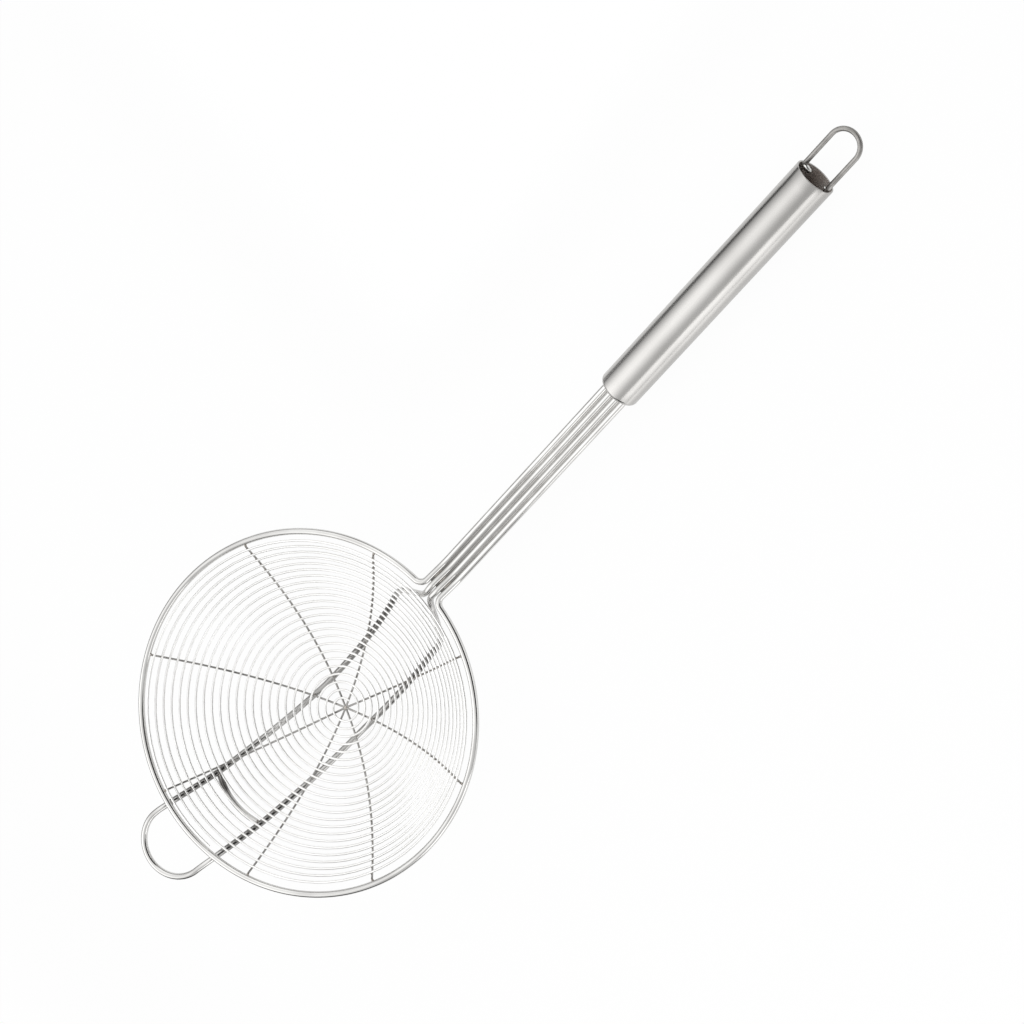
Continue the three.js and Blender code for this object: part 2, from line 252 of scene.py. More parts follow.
def start_in_handle(name, y):
    """A pen that has drawn one stem wire from its end in the handle to the level stretch."""
    pen = WirePen(name, stem_point(STEM_RUN + STEM_INSERT, y))
    pen.run_to(stem_point(stem_setback, y))
    pen.bend((level_end_x, y, bend_centre_z), (0, 1, 0), STEM_RISE, STEM_BEND_STEPS)
    return pen


def end_in_handle(pen, y):
    """The pen draws the other stem wire, from the level stretch back into the handle."""
    pen.run_to((level_end_x, y, 0))
    pen.bend((level_end_x, y, bend_centre_z), (0, 1, 0), -STEM_RISE, STEM_BEND_STEPS)
    pen.run_to(stem_point(STEM_RUN + STEM_INSERT, y))


neck_y = OUTER_LEG + NECK_BEND_RADIUS
neck_reach = RIM_RADIUS + NECK_BEND_RADIUS
neck_x = math.sqrt(neck_reach**2 - neck_y**2)
ring_gap = math.degrees(math.asin(neck_y / neck_reach))

pen = start_in_handle("rim_and_outer_legs", OUTER_LEG)
pen.run_to((neck_x, OUTER_LEG, 0))
pen.bend((neck_x, neck_y, 0), (0, 0, 1), ring_gap - 90, NECK_BEND_STEPS)
pen.bend((0, 0, 0), (0, 0, 1), 360 - 2 * ring_gap, RING_STEPS)
pen.bend((neck_x, -neck_y, 0), (0, 0, 1), ring_gap - 90, NECK_BEND_STEPS)
end_in_handle(pen, -OUTER_LEG)
lay_down()
rim_wire = round_wire(FRAME_WIRE, FRAME_SIDES)
stand_for(rim_wire, "polished_wire", "rim_wire")

# %% [markdown]
# ## The ribs
# Eight thin wires hang from the rim like the ribs of an umbrella and meet at the bowl's low point, which
# is a little to one side of the stem. A small function says where the bowl is, and each rib is drawn
# along it in a few steps. Automatic curve handles then round the line.

# %% The bowl's shape
BOWL_DEPTH = 34.0
BOWL_POWER = 2.08
BOWL_LEAN = -3.0
BOWL_RADIUS = RIM_RADIUS - FRAME_WIRE / 2 - SEAT_GAP - RIB_WIRE / 2


def bowl_height(share):
    return -BOWL_DEPTH * (1 - share**BOWL_POWER)


def bowl_slope(share):
    return BOWL_DEPTH * BOWL_POWER * share ** (BOWL_POWER - 1) / BOWL_RADIUS


def bowl_point(share, direction, lift=0.0):
    """A place over the ribs: share is 0 at the low point and 1 at the rim."""
    slope = bowl_slope(share)
    outwards = share * BOWL_RADIUS - lift * slope / math.hypot(1, slope)
    height = bowl_height(share) + lift / math.hypot(1, slope)
    angle = math.radians(direction)
    lean = BOWL_LEAN * (1 - share)
    return Vector((outwards * math.cos(angle), lean + outwards * math.sin(angle), height))


# %% Ribs
FINE_SIDES = 10
RIB_DIRECTIONS = (22, 68, 120, 166, 206, 251, 297, 338)
RIB_TIP_SHARE = 0.006
RIB_STEPS = 16

rib_shares = [RIB_TIP_SHARE + (1 - RIB_TIP_SHARE) * i / RIB_STEPS for i in range(RIB_STEPS + 1)]
ribs = []
for number, direction in enumerate(RIB_DIRECTIONS, start=1):
    pen = WirePen(f"rib_strand_{number}", bowl_point(rib_shares[0], direction))
    for share in rib_shares[1:]:
        pen.run_to(bowl_point(share, direction), longest=RIM_RADIUS)
    lay_down()
    rib = round_wire(RIB_WIRE, FINE_SIDES, smooth=True)
    stand_for(rib, "polished_wire", f"rib_{number}")
    ribs.append(rib)

# %% [markdown]
# ## The wound basket
# The bowl itself is one thin wire, wound 23 and a half times on the ribs, with its turns evenly spaced
# along the bowl's curve. A Screw modifier winds a single vertex into a plain helix, with one millimetre of
# height for each turn. The height of each vertex then says how far up the bowl's curve it belongs.

# %% Even steps along the bowl
WINDING_TURNS = 23.5
WINDING_START = 3.5
WINDING_END = 67.0
WINDING_END_DIRECTION = 190.0
WINDING_LIFT = (RIB_WIRE + WINDING_WIRE) / 2 + SEAT_GAP
CURVE_STEPS = 200

curve_radii = np.linspace(WINDING_START, WINDING_END, CURVE_STEPS)
curve_heights = bowl_height(curve_radii / BOWL_RADIUS)
curve_steps = np.hypot(np.diff(curve_radii), np.diff(curve_heights))
curve_lengths = np.concatenate(([0], np.cumsum(curve_steps)))


def winding_share(turn):
    """How far out on the bowl the winding is after a number of turns."""
    length = curve_lengths[-1] * turn / WINDING_TURNS
    return float(np.interp(length, curve_lengths, curve_radii)) / BOWL_RADIUS


def winding_direction(turn):
    return WINDING_END_DIRECTION - 360 * (WINDING_TURNS - turn)


print("turns are mm apart:", round(curve_lengths[-1] / WINDING_TURNS, 2))

# %% Wound basket
WINDING_STEPS = 72

pen = WirePen("basket_winding", (WINDING_START, 0, 0))
bpy.ops.object.mode_set(mode="OBJECT")
winding = pen.line.modifiers.new("turns", "SCREW")
winding.angle = 2 * math.pi * WINDING_TURNS
winding.steps = round(WINDING_STEPS * WINDING_TURNS)
winding.render_steps = winding.steps
winding.screw_offset = WINDING_TURNS * MM
bpy.ops.object.modifier_apply(modifier="turns")
for vertex in pen.line.data.vertices:
    turn = vertex.co.z / MM
    vertex.co = bowl_point(winding_share(turn), winding_direction(turn), WINDING_LIFT) * MM
bpy.ops.object.mode_set(mode="EDIT")
lay_down()
basket = round_wire(WINDING_WIRE, FINE_SIDES)
stand_for(basket, "polished_wire", "spiral_wire")

# %% [markdown]
# ## The cradle wire
# The two inner wires of the stem are one wire too. It dives under the winding at the neck, spreads to two
# rails under the ribs, passes under the rim in front and turns back in a round hook, which rests on the
# edge of a pot. It isn't made of circles, so it is drawn from point to point and rounded by its handles.

# %% Ways of the cradle
RAIL_HALF_SPAN_NECK = 12.6
RAIL_HALF_SPAN_MIDDLE = 11.5
RAIL_SHIFT_NECK = -1.3
RAIL_SHIFT_BRACE = -2.9
RAIL_FLARE_LENGTH = 12.0
RAIL_LEAVES_BOWL_AT = 58.0
BRACE_DISTANCE = 53.4
HOOK_RADIUS = 13.8
HOOK_TIP_X = -88.75
HOOK_CENTRE_X = HOOK_TIP_X + HOOK_RADIUS
HOOK_SHIFT = -1.0
HOOK_LEVEL = 0.5
HOOK_LEVELS_OFF_AT = 0.5
RIM_PASS_SLOPE = math.radians(33)
RAIL_DROP = (RIB_WIRE + FRAME_WIRE) / 2 + SEAT_GAP
FLARE_STEPS = 5
RAIL_STEPS = 14
HOOK_STEPS = 16
SHARE_ROUNDS = 12


def between(start, end, share):
    return start + (end - start) * share


def underside_height(x, y):
    """The height of a thick wire that hugs the underside of the ribs."""
    share = 1.0
    for _ in range(SHARE_ROUNDS):
        share = math.hypot(x, y - BOWL_LEAN * (1 - share)) / BOWL_RADIUS
    return bowl_height(share) - RAIL_DROP * math.hypot(1, bowl_slope(share))


def rail_half_span(x):
    if x > 0:
        return between(RAIL_HALF_SPAN_MIDDLE, RAIL_HALF_SPAN_NECK, x / RIM_RADIUS)
    return between(RAIL_HALF_SPAN_MIDDLE, HOOK_RADIUS, min(-x / RIM_RADIUS, 1))


def rail_shift(x):
    """How far the middle of the two rails lies beside the stem's line."""
    if x > -BRACE_DISTANCE:
        share = (x + BRACE_DISTANCE) / (RIM_RADIUS + BRACE_DISTANCE)
        return between(RAIL_SHIFT_BRACE, RAIL_SHIFT_NECK, share)
    share = (x + BRACE_DISTANCE) / (HOOK_CENTRE_X + BRACE_DISTANCE)
    return between(RAIL_SHIFT_BRACE, HOOK_SHIFT, share)


def rim_pass(sign):
    """Where a rail goes under the rim, just clear of it."""
    outwards = RIM_RADIUS + WIRE_PITCH * math.sin(RIM_PASS_SLOPE)
    y = rail_shift(-RIM_RADIUS) + sign * rail_half_span(-RIM_RADIUS)
    return Vector((-math.sqrt(outwards**2 - y**2), y, -WIRE_PITCH * math.cos(RIM_PASS_SLOPE)))


def rail_points(sign):
    """Points of one rail, from the neck to the rim in front."""
    flare_start = RIM_RADIUS - FRAME_WIRE / 2
    flare_end = flare_start - RAIL_FLARE_LENGTH
    points = [Vector((RIM_RADIUS + 2 * FRAME_WIRE, sign * INNER_LEG, 0))]
    points.append(Vector((RIM_RADIUS + FRAME_WIRE, sign * INNER_LEG, -SEAT_GAP)))
    for i in range(FLARE_STEPS + 1):
        share = i / FLARE_STEPS
        spread = share * share * (3 - 2 * share)
        x = between(flare_start, flare_end, share)
        y = between(sign * INNER_LEG, rail_shift(x) + sign * rail_half_span(x), spread)
        points.append(Vector((x, y, underside_height(x, y))))
    for i in range(1, RAIL_STEPS + 1):
        x = between(flare_end, -RAIL_LEAVES_BOWL_AT, i / RAIL_STEPS)
        y = rail_shift(x) + sign * rail_half_span(x)
        points.append(Vector((x, y, underside_height(x, y))))
    return points + [rim_pass(sign)]


def hook_points():
    """Points round the hook, which levels off as it leaves the rim."""
    under_rim = rim_pass(1)
    level_x = between(under_rim.x, HOOK_TIP_X, HOOK_LEVELS_OFF_AT)
    points = []
    for i in range(HOOK_STEPS + 1):
        angle = math.pi * (0.5 + i / HOOK_STEPS)
        x = HOOK_CENTRE_X + HOOK_RADIUS * math.cos(angle)
        left = min(max((x - level_x) / (under_rim.x - level_x), 0), 1)
        height = between(HOOK_LEVEL, under_rim.z, left**2)
        points.append(Vector((x, HOOK_SHIFT + HOOK_RADIUS * math.sin(angle), height)))
    return points


# %% Cradle wire
left_rail = rail_points(1)
right_rail = rail_points(-1)
pen = start_in_handle("cradle_rails_and_hook", INNER_LEG)
for point in left_rail + hook_points() + right_rail[::-1]:
    pen.run_to(point, longest=RIM_RADIUS)
end_in_handle(pen, -INNER_LEG)
lay_down()
cradle = round_wire(FRAME_WIRE, FRAME_SIDES, smooth=True)
stand_for(cradle, "polished_wire", "cradle_wire")

# %% [markdown]
# ## The cross brace
# A short wire joins the two rails near the front, so that they can't spread. It is bowed towards the hook
# and follows the underside of the bowl, and its ends butt against the insides of the rails.

# %% Cross brace
BRACE_WIRE = 2.4
BRACE_BOW_RADIUS = 33.0
BRACE_STEPS = 9


def brace_x(y):
    return BRACE_BOW_RADIUS - BRACE_DISTANCE - math.sqrt(BRACE_BOW_RADIUS**2 - y**2)


rail_x = brace_x(rail_half_span(-BRACE_DISTANCE))
brace_middle = rail_shift(rail_x)


def brace_point(y):
    x = brace_x(y)
    return Vector((x, brace_middle + y, underside_height(x, brace_middle + y)))


brace_half_span = rail_half_span(rail_x) - FRAME_WIRE / 2 - SEAT_GAP
pen = WirePen("brace_bow", brace_point(brace_half_span))
for i in range(1, BRACE_STEPS + 1):
    y = between(brace_half_span, -brace_half_span, i / BRACE_STEPS)
    pen.run_to(brace_point(y), longest=RIM_RADIUS)
lay_down()
brace = round_wire(BRACE_WIRE, FRAME_SIDES, smooth=True)
stand_for(brace, "polished_wire", "cross_brace")

# %% [markdown]
# ## The handle
# The handle is a thin steel tube. Its mouth is rolled in round the stem, and its far end is cut square and
# left open. A circle is added at the mouth and extruded along the tube, and widened at each step of the
# roll. Solidify then gives the skin its wall, and a Bevel breaks the cut edges, which catch the light.

# %% Handle tube
HANDLE_DIAMETER = 15.0
HANDLE_WALL = 0.6
HANDLE_LENGTH = 106.3
HANDLE_SIDES = 128
ROLL_STEPS = 8
SLEEVE_STEPS = 24

mouth_radius = OUTER_LEG + FRAME_WIRE / 2 + SEAT_GAP
roll_radius = HANDLE_DIAMETER / 2 - mouth_radius
handle_start = stem_point(STEM_RUN, 0)


def seat_on_stem():
    """Turns what is open in edit mode from the X axis onto the stem's slope."""
    bpy.ops.mesh.select_all(action="SELECT")
    bpy.ops.transform.rotate(value=rise, orient_axis="Y", center_override=(0, 0, 0))
    bpy.ops.transform.translate(value=handle_start * MM)


def extrude_ring(x, radius, next_x, next_radius):
    """Extrudes the selected ring along X and gives the new ring its own radius."""
    bpy.ops.mesh.extrude_edges_move(TRANSFORM_OT_translate={"value": ((next_x - x) * MM, 0, 0)})
    wider = next_radius / radius
    bpy.ops.transform.resize(value=(1, wider, wider), center_override=(next_x * MM, 0, 0))


bpy.ops.object.select_all(action="DESELECT")
bpy.ops.mesh.primitive_circle_add(
    vertices=HANDLE_SIDES,
    radius=mouth_radius * MM,
    rotation=(0, math.pi / 2, 0),
)
sleeve = bpy.context.object
sleeve.name = "handle_sleeve"
bpy.ops.object.transform_apply(location=False, rotation=True, scale=False)
bpy.ops.object.mode_set(mode="EDIT")
bpy.ops.mesh.select_all(action="SELECT")
ring_x = 0.0
ring_radius = mouth_radius
for i in range(1, ROLL_STEPS + 1):
    angle = math.pi / 2 * i / ROLL_STEPS
    next_x = roll_radius * (1 - math.cos(angle))
    next_radius = mouth_radius + roll_radius * math.sin(angle)
    extrude_ring(ring_x, ring_radius, next_x, next_radius)
    ring_x = next_x
    ring_radius = next_radius
for i in range(1, SLEEVE_STEPS + 1):
    next_x = between(roll_radius, HANDLE_LENGTH, i / SLEEVE_STEPS)
    extrude_ring(ring_x, ring_radius, next_x, ring_radius)
    ring_x = next_x
bpy.ops.mesh.select_all(action="SELECT")
bpy.ops.mesh.normals_make_consistent(inside=False)
seat_on_stem()
lay_down()

# %% Wall and edges of the handle
OUTER_SKIN = 0
INNER_SKIN = 1
EDGE_BREAK = 0.15
EDGE_SEGMENTS = 3
EDGE_ANGLE = math.radians(60)

bpy.ops.object.material_slot_add()
bpy.ops.object.material_slot_add()
wall = sleeve.modifiers.new("wall", "SOLIDIFY")
wall.thickness = HANDLE_WALL * MM
wall.offset = -1
wall.use_even_offset = True
wall.material_offset = INNER_SKIN
bpy.ops.object.modifier_apply(modifier="wall")
edges = sleeve.modifiers.new("edges", "BEVEL")
edges.width = EDGE_BREAK * MM
edges.segments = EDGE_SEGMENTS
edges.limit_method = "ANGLE"
edges.angle_limit = EDGE_ANGLE
edges.material = OUTER_SKIN
bpy.ops.object.modifier_apply(modifier="edges")
bpy.ops.object.shade_smooth_by_angle(angle=SHARP_ANGLE)
stand_for(sleeve, "satin_tube", "handle_tube")
print(sleeve.name, "faces:", len(sleeve.data.polygons))

# %% [markdown]
# ## The hanging eye
# A U of wire closes the handle. Its legs go down inside the tube, against the wall. Two straight runs and
# half a turn of spin draw it, and it is turned onto the stem's slope as the tube was.

# %% Hanging eye
EYE_WIRE = 1.8
EYE_REACH = 20.6
EYE_INSERT = 30.0
EYE_STEPS = 28

eye_half_span = HANDLE_DIAMETER / 2 - HANDLE_WALL - SEAT_GAP - EYE_WIRE / 2
eye_bend_x = HANDLE_LENGTH + EYE_REACH - EYE_WIRE / 2 - eye_half_span
eye_leg_x = HANDLE_LENGTH - EYE_INSERT
pen = WirePen("hanging_eye", (eye_leg_x, eye_half_span, 0))
pen.run_to((eye_bend_x, eye_half_span, 0))
pen.bend((eye_bend_x, 0, 0), (0, 0, 1), -180, EYE_STEPS)
pen.run_to((eye_leg_x, -eye_half_span, 0))
seat_on_stem()
lay_down()
eye = round_wire(EYE_WIRE, FRAME_SIDES)
stand_for(eye, "polished_wire", "hanging_loop")

# %% [markdown]
# ## The welds
# Every crossing is spot welded: the hot wires sink into each other and leave a small nugget. One nugget is
# modelled from a ball, flattened a little, and copied to each place with its own mesh. The copies of one
# kind are joined, because the winding alone has 188 and loose nuggets are hard to keep in order.

# %% A nugget and its copies
NUGGET_SEGMENTS = 8
NUGGET_RINGS = 6
NUGGET_RADIUS = 0.5
STEM_SIDE = Vector((1, 0, 0))
UPWARDS = Vector((0, 0, 1))


def make_welds(name, spots):
    """Welds at a list of spots: place, way along, way up and the three sizes, in the rim's frame."""
    bpy.ops.object.select_all(action="DESELECT")
    bpy.ops.mesh.primitive_uv_sphere_add(
        segments=NUGGET_SEGMENTS,
        ring_count=NUGGET_RINGS,
        radius=NUGGET_RADIUS,
    )
    seed = bpy.context.object
    copies = []
    for place, along, up, size in spots:
        up = up.normalized()
        across = up.cross(along).normalized()
        along = across.cross(up)
        turned = Matrix((along, across, up)).transposed().to_4x4()
        sized = Matrix.Diagonal((*(Vector(size) * MM), 1))
        nugget = seed.copy()
        nugget.data = seed.data.copy()
        nugget.data.transform(LAID @ Matrix.Translation(place * MM) @ turned @ sized)
        bpy.context.collection.objects.link(nugget)
        copies.append(nugget)
    bpy.data.objects.remove(seed)
    bpy.ops.object.select_all(action="DESELECT")
    for nugget in copies:
        nugget.select_set(True)
    bpy.context.view_layer.objects.active = copies[0]
    bpy.ops.object.join()
    welds = bpy.context.object
    welds.name = name
    bpy.ops.object.shade_smooth()
    stand_for(welds, "polished_wire")
    print(name, "spots:", len(spots), "faces:", len(welds.data.polygons))
    return welds


# %% Welds of the winding to the ribs
WINDING_NUGGET = (0.8, 0.8, 0.9)

spots = []
for direction in RIB_DIRECTIONS:
    first_turn = ((direction - winding_direction(0)) % 360) / 360
    for turn in np.arange(first_turn, WINDING_TURNS, 1):
        share = winding_share(turn)
        low = bowl_point(share, direction)
        high = bowl_point(share, direction, WINDING_LIFT)
        spots.append(((low + high) / 2, low - bowl_point(0, direction), high - low, WINDING_NUGGET))
winding_welds = make_welds("winding_welds", spots)

# %% Welds of the frame
CLOSE_ENOUGH = 3.0
RAIL_NUGGET = (1.6, 1.2, 1.2)
RIM_NUGGET = (1.3, 1.1, 1.0)
PASS_NUGGET = (1.8, 1.8, 1.6)
BRACE_NUGGET = (1.6, 2.2, 2.2)
HUB_NUGGET = (2.2, 2.0, 1.1)
ROUTE_STEPS = 12


def fine_route(points):
    """Extra points on the straights between some points."""
    shares = [i / ROUTE_STEPS for i in range(ROUTE_STEPS)]
    return [a.lerp(b, s) for a, b in zip(points, points[1:]) for s in shares] + [points[-1]]


def nearest(first, second):
    """The two points where two routes come closest."""
    gaps = np.linalg.norm(np.array(first)[:, None] - np.array(second)[None], axis=2)
    i, j = np.unravel_index(gaps.argmin(), gaps.shape)
    return first[i], second[j]


spots = [(bowl_point(0, 0), STEM_SIDE, UPWARDS, HUB_NUGGET)]
rail_routes = [fine_route(left_rail), fine_route(right_rail)]
rib_end_reach = RIM_RADIUS - FRAME_WIRE / 2 - SEAT_GAP / 2
for direction in RIB_DIRECTIONS:
    rib_route = fine_route([bowl_point(share, direction) for share in rib_shares])
    outwards = Vector((math.cos(math.radians(direction)), math.sin(math.radians(direction)), 0))
    spots.append((outwards * rib_end_reach, outwards, UPWARDS, RIM_NUGGET))
    for rail_route in rail_routes:
        on_rib, on_rail = nearest(rib_route, rail_route)
        if (on_rib - on_rail).length < CLOSE_ENOUGH:
            spots.append(((on_rib + on_rail) / 2, STEM_SIDE, on_rib - on_rail, RAIL_NUGGET))
for sign in (1, -1):
    under_rim = rim_pass(sign)
    rim_point = Vector((under_rim.x, under_rim.y, 0)).normalized() * RIM_RADIUS
    spots.append(((under_rim + rim_point) / 2, STEM_SIDE, rim_point - under_rim, PASS_NUGGET))
    brace_end = brace_point(sign * (brace_half_span + SEAT_GAP / 2))
    spots.append((brace_end, Vector((0, 1, 0)), UPWARDS, BRACE_NUGGET))
frame_welds = make_welds("frame_welds", spots)

# %% Welds of the neck and the eye
NECK_DAB = (9.0, 0.9, 1.7)
NECK_DAB_X = 77.0
# The eye's beads are welds, made large and bright as painted glints in the open end of the tube.
LEFT_EYE_BEAD = (2.0, 4.4, 3.0)
LEFT_BEAD_IN = 1.6
LEFT_BEAD_OUT = 0.8
RIGHT_EYE_BEAD = (1.0, 2.4, 1.6)
RIGHT_BEAD_IN = 0.4
RIGHT_BEAD_OUT = 0.2

grooves = (-WIRE_PITCH, 0, WIRE_PITCH)
spots = [(Vector((NECK_DAB_X, y, 0)), STEM_SIDE, UPWARDS, NECK_DAB) for y in grooves]
neck_welds = make_welds("neck_welds", spots)
spots = []
for sign, bead, bead_in, bead_out in (
    (1, LEFT_EYE_BEAD, LEFT_BEAD_IN, LEFT_BEAD_OUT),
    (-1, RIGHT_EYE_BEAD, RIGHT_BEAD_IN, RIGHT_BEAD_OUT),
):
    bead_y = sign * (eye_half_span - bead_in)
    bead_place = stem_point(STEM_RUN + HANDLE_LENGTH + bead_out - bead[0] / 2, bead_y)
    spots.append((bead_place, stem_way, UPWARDS, bead))
eye_welds = make_welds("eye_welds", spots)

# %% [markdown]
# ## The seams of the stem
# The four stem wires are brazed side by side, so no light comes through between them. A thin seam in each
# groove closes it. Its grey steel is painted shade in the grooves. It is drawn with the same pen as the
# wires, from the tube's mouth to the neck.

# %% Stem seams
SEAM_WIDTH = 1.2
SEAM_SIDES = 12
SEAM_LIFT = 0.15
SEAM_NECK_X = 73.0
SEAM_PLACES = (
    ("stem_seam_left", WIRE_PITCH),
    ("stem_seam_middle", 0.0),
    ("stem_seam_right", -WIRE_PITCH),
)

stem_up = Vector((-math.sin(rise), 0, math.cos(rise)))
seams = []
for name, y in SEAM_PLACES:
    pen = WirePen(name, stem_point(STEM_RUN, y) + stem_up * SEAM_LIFT)
    pen.run_to(stem_point(stem_setback, y) + stem_up * SEAM_LIFT)
    pen.bend((level_end_x, y, bend_centre_z), (0, 1, 0), STEM_RISE, STEM_BEND_STEPS)
    pen.run_to((SEAM_NECK_X, y, SEAM_LIFT))
    lay_down()
    seam = round_wire(SEAM_WIDTH, SEAM_SIDES)
    stand_for(seam, "polished_wire")
    seams.append(seam)

# %% [markdown]
# ## Drawn steel
# Wire is pulled through a die, which leaves fine marks along it, so the noise that drives gloss and bump
# is stretched along the wire's own map, which counts millimetres. A second, broad noise on Object
# coordinates lets the steel be a little duller in places, as handled steel is.

# %% Making a steel
GRAIN_DETAIL = 4.0
GRAIN_HEIGHT = 0.05 * MM
GRAIN_SPREAD = (0.3, 0.7)
PATCH_SPREAD = (0.35, 0.62)


def new_steel(name, tones, roughness, bump, patch_scale, grain_scale, grain="UV", metallic=1.0):
    """A metal whose gloss and bump follow a grain, and whose tone varies in broad patches."""
    steel = bpy.data.materials.new(name)
    steel.use_nodes = True
    tree = steel.node_tree
    shader = tree.nodes["Principled BSDF"]
    shader.inputs["Metallic"].default_value = metallic
    body = tree.nodes.new("ShaderNodeTexCoord")
    stretch = tree.nodes.new("ShaderNodeMapping")
    stretch.name = "grain_stretch"
    stretch.inputs["Scale"].default_value = grain_scale
    tree.links.new(body.outputs[grain], stretch.inputs["Vector"])
    marks = tree.nodes.new("ShaderNodeTexNoise")
    marks.inputs["Scale"].default_value = 1.0
    marks.inputs["Detail"].default_value = GRAIN_DETAIL
    tree.links.new(stretch.outputs["Vector"], marks.inputs["Vector"])
    gloss = tree.nodes.new("ShaderNodeMapRange")
    gloss.inputs["From Min"].default_value = GRAIN_SPREAD[0]
    gloss.inputs["From Max"].default_value = GRAIN_SPREAD[1]
    gloss.inputs["To Min"].default_value = roughness[0]
    gloss.inputs["To Max"].default_value = roughness[1]
    tree.links.new(marks.outputs["Fac"], gloss.inputs["Value"])
    tree.links.new(gloss.outputs["Result"], shader.inputs["Roughness"])
    relief = tree.nodes.new("ShaderNodeBump")
    relief.inputs["Strength"].default_value = bump
    relief.inputs["Distance"].default_value = GRAIN_HEIGHT
    tree.links.new(marks.outputs["Fac"], relief.inputs["Height"])
    tree.links.new(relief.outputs["Normal"], shader.inputs["Normal"])
    patches = tree.nodes.new("ShaderNodeTexNoise")
    patches.inputs["Scale"].default_value = patch_scale
    tree.links.new(body.outputs["Object"], patches.inputs["Vector"])
    tone = tree.nodes.new("ShaderNodeValToRGB")
    for stop, place, colour in zip(tone.color_ramp.elements, PATCH_SPREAD, tones):
        stop.position = place
        stop.color = (*colour, 1)
    tree.links.new(patches.outputs["Fac"], tone.inputs["Fac"])
    tree.links.new(tone.outputs["Color"], shader.inputs["Base Color"])
    return steel


# %% Steel of the wires
frame_steel = new_steel(
    "drawn_frame_wire",
    tones=((0.62, 0.612, 0.60), (0.72, 0.715, 0.70)),
    roughness=(0.05, 0.14),
    bump=0.08,
    patch_scale=70.0,
    grain_scale=(0.12, 4.0, 1.0),
)
# The winding is the same steel as the frame wire; its near-white tone is painted light, for the strong
# light from above.
winding_steel = new_steel(
    "fine_wire_painted_light",
    tones=((0.92, 0.915, 0.90), (0.97, 0.965, 0.955)),
    roughness=(0.25, 0.4),
    bump=0.08,
    patch_scale=60.0,
    grain_scale=(0.2, 7.0, 1.0),
)
# The ribs' dark tone is painted shade, where they lie under the winding.
rib_steel = new_steel(
    "rib_painted_shade",
    tones=((0.30, 0.292, 0.28), (0.46, 0.45, 0.435)),
    roughness=(0.16, 0.34),
    bump=0.1,
    patch_scale=160.0,
    grain_scale=(0.5, 6.0, 1.0),
)
eye_steel = new_steel(
    "dull_eye_wire",
    tones=((0.27, 0.262, 0.25), (0.38, 0.37, 0.355)),
    roughness=(0.3, 0.44),
    bump=0.1,
    patch_scale=200.0,
    grain_scale=(0.2, 4.0, 1.0),
)

# %% Steel of the welds and seams
weld_steel = new_steel(
    "weld_nugget",
    tones=((0.30, 0.27, 0.24), (0.52, 0.49, 0.46)),
    roughness=(0.2, 0.45),
    bump=0.3,
    patch_scale=900.0,
    grain_scale=(1800.0, 1800.0, 1800.0),
    grain="Object",
)
# The seams' grey is painted shade in the grooves between the stem wires, made darker towards the neck
# below.
seam_steel = new_steel(
    "groove_seam_painted_shade",
    tones=((0.40, 0.39, 0.375), (0.52, 0.51, 0.495)),
    roughness=(0.3, 0.5),
    bump=0.2,
    patch_scale=120.0,
    grain_scale=(0.5, 4.0, 1.0),
)
# Partly weld, partly painted glint: the beads at the eye get a bright steel.
bead_steel = new_steel(
    "bead_painted_glint",
    tones=((0.62, 0.62, 0.60), (0.88, 0.88, 0.86)),
    roughness=(0.12, 0.25),
    bump=0.2,
    patch_scale=700.0,
    grain_scale=(900.0, 900.0, 900.0),
    grain="Object",
)
rim_wire.data.materials.append(frame_steel)
eye.data.materials.append(eye_steel)
basket.data.materials.append(winding_steel)
for rib in ribs:
    rib.data.materials.append(rib_steel)
for seam in seams:
    seam.data.materials.append(seam_steel)
for welds in (winding_welds, frame_welds, neck_welds):
    welds.data.materials.append(weld_steel)
eye_welds.data.materials.append(bead_steel)
print("steels so far:", len(bpy.data.materials))

# %% [markdown]
# ## Greyed stretches
# Under the basket the cradle wire is darkened, as painted shade where it lies under the basket.
# It is the same wire as the bright hook and stem, so its steel is copied and darkened only on that stretch.
# The wire's map gives the distance along it, and a colour ramp says how grey it is there. The brace is
# darker near its left end and the seams of the stem are darker towards the neck, and they get the same.

# %% Greying a stretch of wire
GREY_REACH = 200.0
GREYED_STEEL = (0.11, 0.105, 0.10)


def set_stops(ramp, stops):
    """Gives a colour ramp some stops, each a place and a greyness."""
    ramp.elements.remove(ramp.elements[1])
    for number, (place, grey) in enumerate(stops):
        stop = ramp.elements[0] if number == 0 else ramp.elements.new(place)
        stop.position = place
        stop.color = (grey, grey, grey, 1)


def grey_stretch(steel, start, stops):
    """Darkens a steel along its wire, by stops of distance in mm from a place on it, and greyness."""
    tree = steel.node_tree
    shader = tree.nodes["Principled BSDF"]
    polished = shader.inputs["Base Color"].links[0].from_socket
    wire_map = tree.nodes.new("ShaderNodeTexCoord")
    along = tree.nodes.new("ShaderNodeSeparateXYZ")
    offset = tree.nodes.new("ShaderNodeMath")
    offset.operation = "SUBTRACT"
    offset.inputs[1].default_value = start
    either_way = tree.nodes.new("ShaderNodeMath")
    either_way.operation = "ABSOLUTE"
    reach = tree.nodes.new("ShaderNodeMath")
    reach.operation = "DIVIDE"
    reach.inputs[1].default_value = GREY_REACH
    greyness = tree.nodes.new("ShaderNodeValToRGB")
    set_stops(greyness.color_ramp, [(distance / GREY_REACH, grey) for distance, grey in stops])
    blend = tree.nodes.new("ShaderNodeMix")
    blend.data_type = "RGBA"
    blend.inputs["B"].default_value = (*GREYED_STEEL, 1)
    tree.links.new(wire_map.outputs["UV"], along.inputs["Vector"])
    tree.links.new(along.outputs["X"], offset.inputs[0])
    tree.links.new(offset.outputs["Value"], either_way.inputs[0])
    tree.links.new(either_way.outputs["Value"], reach.inputs[0])
    tree.links.new(reach.outputs["Value"], greyness.inputs["Fac"])
    tree.links.new(greyness.outputs["Color"], blend.inputs["Factor"])
    tree.links.new(polished, blend.inputs["A"])
    tree.links.new(blend.outputs["Result"], shader.inputs["Base Color"])
